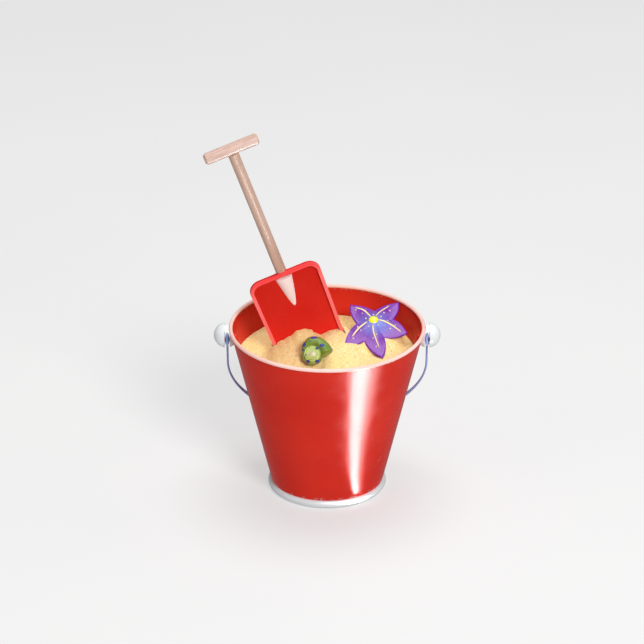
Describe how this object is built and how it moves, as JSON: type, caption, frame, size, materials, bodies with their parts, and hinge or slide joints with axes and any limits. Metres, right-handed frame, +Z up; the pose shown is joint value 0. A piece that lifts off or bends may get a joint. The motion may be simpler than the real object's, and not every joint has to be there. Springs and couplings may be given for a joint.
{
  "type": "toy sand bucket",
  "caption": "Tapered tin toy pail with a swinging bail, filled with damp sand that holds a T-handled spade, a toy starfish and a toy snail shell.",
  "frame": {"origin": "on the bucket's own axis, in the plane the foot ring stands on", "axes": "+Z up the bucket; X along the bail's hinge axis; -Y is the front, where the blade's face, the starfish and the shell are seen; the bail hangs at +Y"},
  "size_m": [0.2269, 0.19, 0.3868],
  "materials": {
    "pail_enamel": "glossy red enamel on tin plate",
    "foot_metal": "satin bare tin plate",
    "rim_enamel": "pale pink enamel",
    "rim_steel": "bare steel wire",
    "ear_enamel": "glossy white enamel",
    "pin_steel": "bare steel",
    "bail_enamel": "blue enamel on steel wire",
    "sand": "damp, fine, pale yellow sand",
    "blade_enamel": "glossy red enamel",
    "socket_enamel": "glossy white enamel",
    "spade_wood": "sanded and waxed beech",
    "pin_wood": "end grain of a hardwood peg",
    "starfish_skin": "satin purple, lighter towards the middle",
    "starfish_button": "glossy yellow",
    "shell_skin": "glossy green with blue spots"
  },
  "bodies": {
    "bucket": {"wall": "pail_enamel", "bottom_disc": "pail_enamel", "foot_ring": "foot_metal", "rim_bead": "rim_enamel", "rim_wire": "rim_steel", "ear_pad_left": "ear_enamel", "ear_pad_right": "ear_enamel", "ear_cap_left": "ear_enamel", "ear_cap_right": "ear_enamel", "pivot_pin_left": "pin_steel", "pivot_pin_right": "pin_steel", "backing_plate_left": "pin_steel", "backing_plate_right": "pin_steel", "sand_fill": "sand"},
    "bail": {"bail_strap": "bail_enamel", "bail_eye_left": "bail_enamel", "bail_eye_right": "bail_enamel"},
    "spade": {"spade_blade": "blade_enamel", "shaft_socket": "socket_enamel", "spade_shaft": "spade_wood", "grip_bar": "spade_wood", "grip_pin": "pin_wood", "socket_pin": "pin_steel"},
    "starfish": {"starfish_body": "starfish_skin", "starfish_button": "starfish_button"},
    "shell": {"shell_body": "shell_skin"}
  },
  "joints": [
    {"name": "bail_swing", "type": "hinge", "parent": "bucket", "child": "bail", "pos_m": [0, 0, 0.1555], "axis": [1, 0, 0], "range_deg": [0, 148]},
    {"name": "spade_pull", "type": "slide", "parent": "bucket", "child": "spade", "axis": [-0.3008, -0.2166, 0.9288], "range_m": [0, 0.13]},
    {"name": "starfish_lift", "type": "slide", "parent": "bucket", "child": "starfish", "axis": [0, -0.3714, 0.9285], "range_m": [0, 0.05]},
    {"name": "shell_lift", "type": "slide", "parent": "bucket", "child": "shell", "axis": [0, 0, 1], "range_m": [0, 0.05]}
  ]
}
